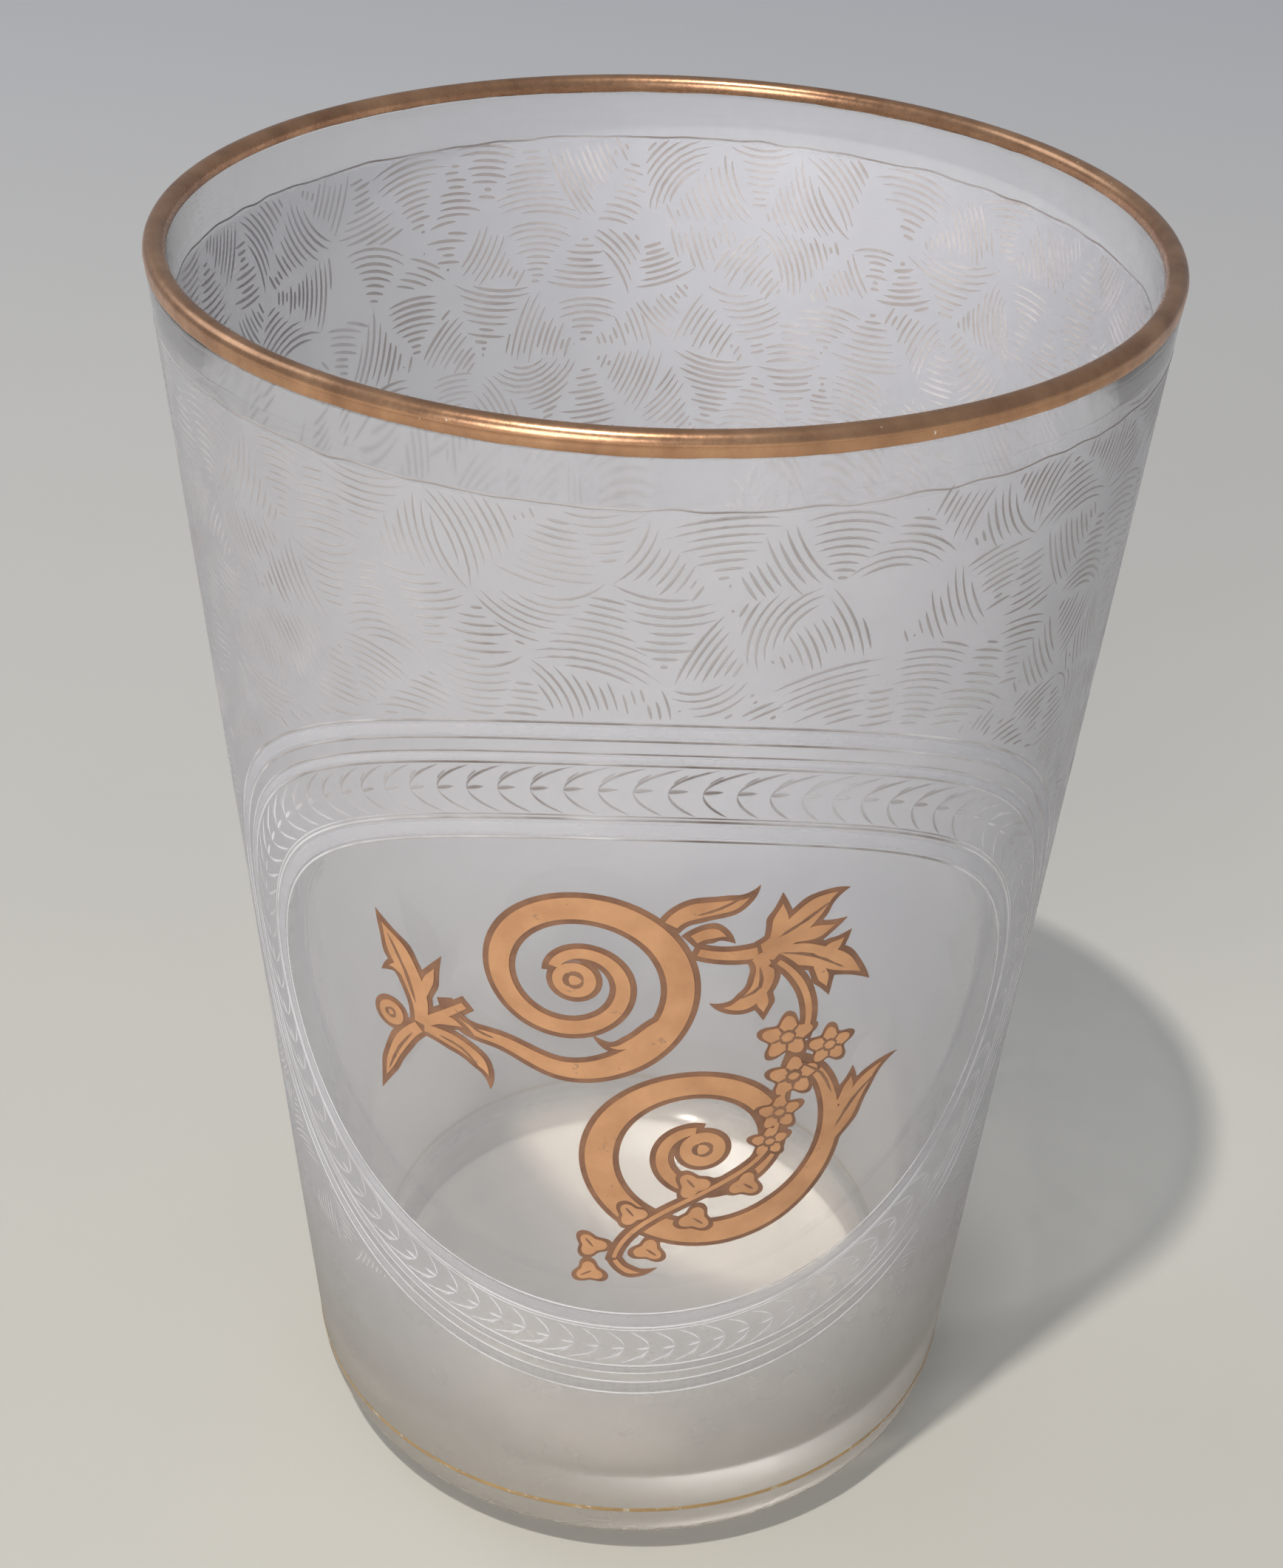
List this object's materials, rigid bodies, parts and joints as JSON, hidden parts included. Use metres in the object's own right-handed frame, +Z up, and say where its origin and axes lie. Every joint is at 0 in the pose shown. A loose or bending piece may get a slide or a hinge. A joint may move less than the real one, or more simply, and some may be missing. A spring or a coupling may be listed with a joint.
{
  "type": "shot glass",
  "caption": "Thin tapered drinking glass with a thick clear floor, a gilded lip, a gilt foot line and a gilt scroll and flower ornament on the front.",
  "frame": {"origin": "centre of the foot, on the surface the glass stands on", "axes": "+Z up along the glass's axis, the gilt ornament faces -Y, +X to the right of someone who looks at the ornament"},
  "size_m": [0.0499, 0.05, 0.0722],
  "materials": {
    "glass": "clear, gloss, with etched bands",
    "lip_gold": "burnished copper-gold gilding, lightly worn",
    "ornament_gold": "flat fired gilding",
    "brown_ground": "satin fired enamel"
  },
  "bodies": {
    "root": {"glass_body": "glass", "rim_gilding": "lip_gold", "foot_gilding": "lip_gold", "ornament_ground": "brown_ground", "upper_volute_gilding": "ornament_gold", "lower_volute_gilding": "ornament_gold", "left_spray_gilding": "ornament_gold", "right_spray_gilding": "ornament_gold", "garland_gilding": "ornament_gold"}
  },
  "joints": []
}
